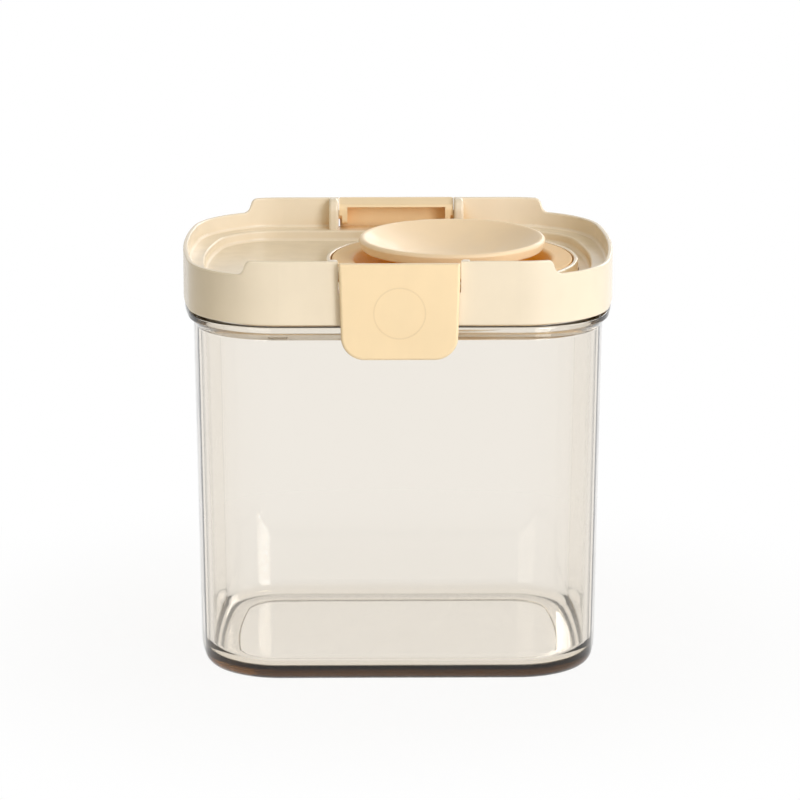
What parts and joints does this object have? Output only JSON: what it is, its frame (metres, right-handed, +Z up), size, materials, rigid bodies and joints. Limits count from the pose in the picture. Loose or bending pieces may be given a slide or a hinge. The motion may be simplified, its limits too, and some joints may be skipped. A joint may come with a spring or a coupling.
{
  "type": "vacuum storage jar",
  "caption": "Clear storage jar with rounded corners, a cream lid held by peach snap latches, and a dished pull knob on a vacuum pump set in the lid's well.",
  "frame": {"origin": "on the table, under the middle of the jar", "axes": "+Z up, -Y to the front latch, +X to the side where the pump is"},
  "size_m": [0.112, 0.0904, 0.1115],
  "materials": {
    "clear_plastic": "clear, polished",
    "cream_plastic": "satin cream",
    "peach_plastic": "satin peach",
    "silicone": "soft white",
    "steel": "plain"
  },
  "bodies": {
    "jar": {"jar_body": "clear_plastic"},
    "lid": {"lid_cover": "cream_plastic", "lid_liner": "cream_plastic", "lid_gasket": "silicone", "pump_barrel": "cream_plastic", "barrel_seal": "silicone", "inlet_valve": "silicone"},
    "front_latch": {"front_latch": "peach_plastic"},
    "rear_latch": {"rear_latch": "peach_plastic"},
    "pump": {"pump_piston": "peach_plastic", "piston_seal": "silicone", "pump_knob": "peach_plastic", "knob_screw": "steel", "screw_washer": "silicone"},
    "release_valve": {"release_valve": "silicone"}
  },
  "joints": [
    {"name": "lid_lift", "type": "slide", "parent": "jar", "child": "lid", "axis": [0, 0, 1], "range_m": [0, 0.06]},
    {"name": "front_latch_hinge", "type": "hinge", "parent": "lid", "child": "front_latch", "pos_m": [0, -0.0408, 0.1071], "axis": [-1, 0, 0], "range_deg": [0, 105]},
    {"name": "rear_latch_hinge", "type": "hinge", "parent": "lid", "child": "rear_latch", "pos_m": [0, 0.0408, 0.1071], "axis": [1, 0, 0], "range_deg": [0, 105]},
    {"name": "pump_pull", "type": "slide", "parent": "lid", "child": "pump", "axis": [0, 0, 1], "range_m": [0, 0.005]},
    {"name": "release_lift", "type": "slide", "parent": "lid", "child": "release_valve", "axis": [0, 0, 1], "range_m": [0, 0.0025]}
  ]
}
